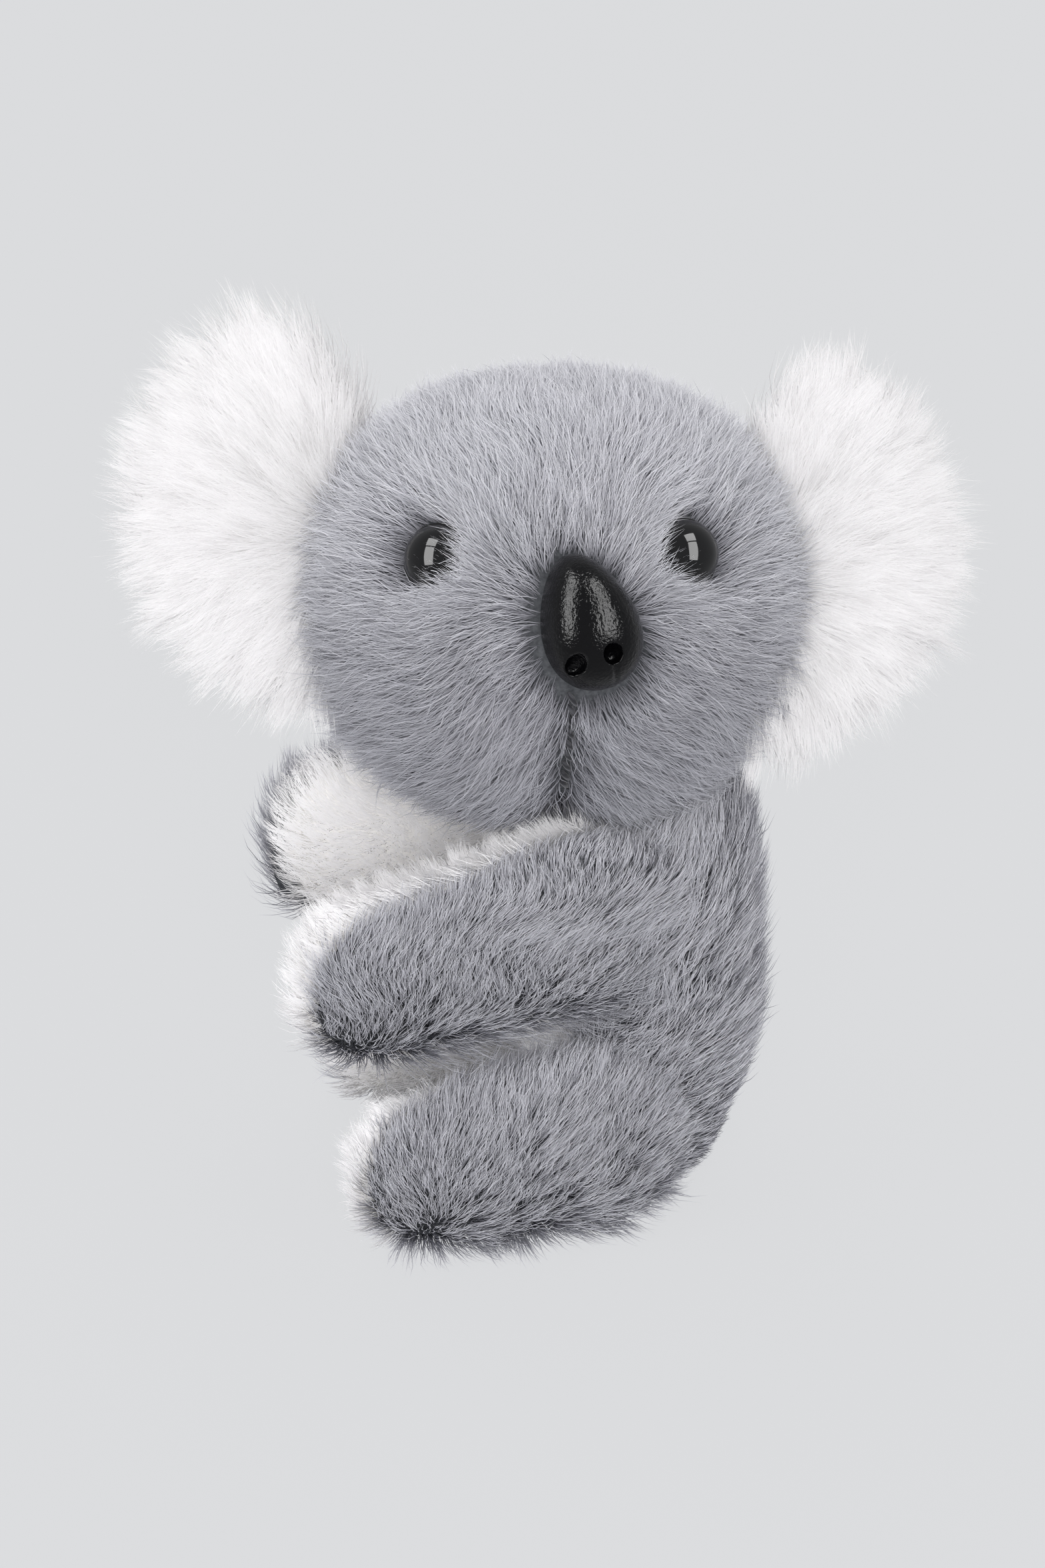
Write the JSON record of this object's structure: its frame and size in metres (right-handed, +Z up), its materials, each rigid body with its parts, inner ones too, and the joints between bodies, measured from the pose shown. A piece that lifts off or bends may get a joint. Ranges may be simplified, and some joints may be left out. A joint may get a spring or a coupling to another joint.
{
  "type": "plush koala clip toy",
  "caption": "Small stuffed koala with its head turned to its left, whose arms and legs are two sprung jaws that clip on and open when the back is squeezed.",
  "frame": {"origin": "middle of the flat seat under the body, on the surface that the toy stands on", "axes": "+Z up through the body, -Y the way the belly, arms and legs face, +X the toy's left, to which the head is turned"},
  "size_m": [0.0622, 0.105, 0.1139],
  "materials": {
    "grey_plush": "medium pile",
    "white_plush": "medium pile",
    "ear_plush": "long pile",
    "fibre": "loose filling",
    "eye_plastic": "polished",
    "nose_plastic": "satin",
    "washer_plastic": "moulded",
    "lever_plastic": "moulded",
    "steel": "bright wire",
    "dark_thread": "twisted",
    "grey_thread": "twisted"
  },
  "bodies": {
    "torso": {"body_skin": "grey_plush", "belly_panel": "white_plush", "body_stuffing": "fibre", "neck_thread": "grey_thread", "hinge_pin": "steel", "spring_coil": "steel"},
    "left_jaw": {"left_clip_lever": "lever_plastic", "left_spring_leg": "steel", "left_arm": "grey_plush", "left_arm_lining": "white_plush", "left_leg": "grey_plush", "left_leg_lining": "white_plush"},
    "right_jaw": {"right_clip_lever": "lever_plastic", "right_spring_leg": "steel", "right_arm": "grey_plush", "right_arm_lining": "white_plush", "right_leg": "grey_plush", "right_leg_lining": "white_plush"},
    "head": {"head_skin": "grey_plush", "head_stuffing": "fibre", "left_ear_front": "ear_plush", "left_ear_back": "grey_plush", "right_ear_front": "ear_plush", "right_ear_back": "grey_plush", "left_eye": "eye_plastic", "right_eye": "eye_plastic", "left_eye_washer": "washer_plastic", "right_eye_washer": "washer_plastic", "nose": "nose_plastic", "nose_washer": "washer_plastic", "mouth_thread": "dark_thread"}
  },
  "joints": [
    {"name": "left_jaw_hinge", "type": "hinge", "parent": "torso", "child": "left_jaw", "pos_m": [0, 0.001, 0.03], "axis": [0, 0, 1], "range_deg": [0, 18], "stiffness_Nm_per_rad": 0.12, "springref_deg": -8.59},
    {"name": "right_jaw_hinge", "type": "hinge", "parent": "torso", "child": "right_jaw", "pos_m": [0, 0.001, 0.03], "axis": [0, 0, 1], "range_deg": [-18, 0], "stiffness_Nm_per_rad": 0.12, "springref_deg": 8.59},
    {"name": "head_turn", "type": "hinge", "parent": "torso", "child": "head", "pos_m": [-0.0025, -0.004, 0.0595], "axis": [0, 0, 1], "range_deg": [-20, 20], "stiffness_Nm_per_rad": 0.03}
  ],
  "couplings": [
    {"joint": "right_jaw_hinge", "follows": "left_jaw_hinge", "ratio": -1}
  ]
}
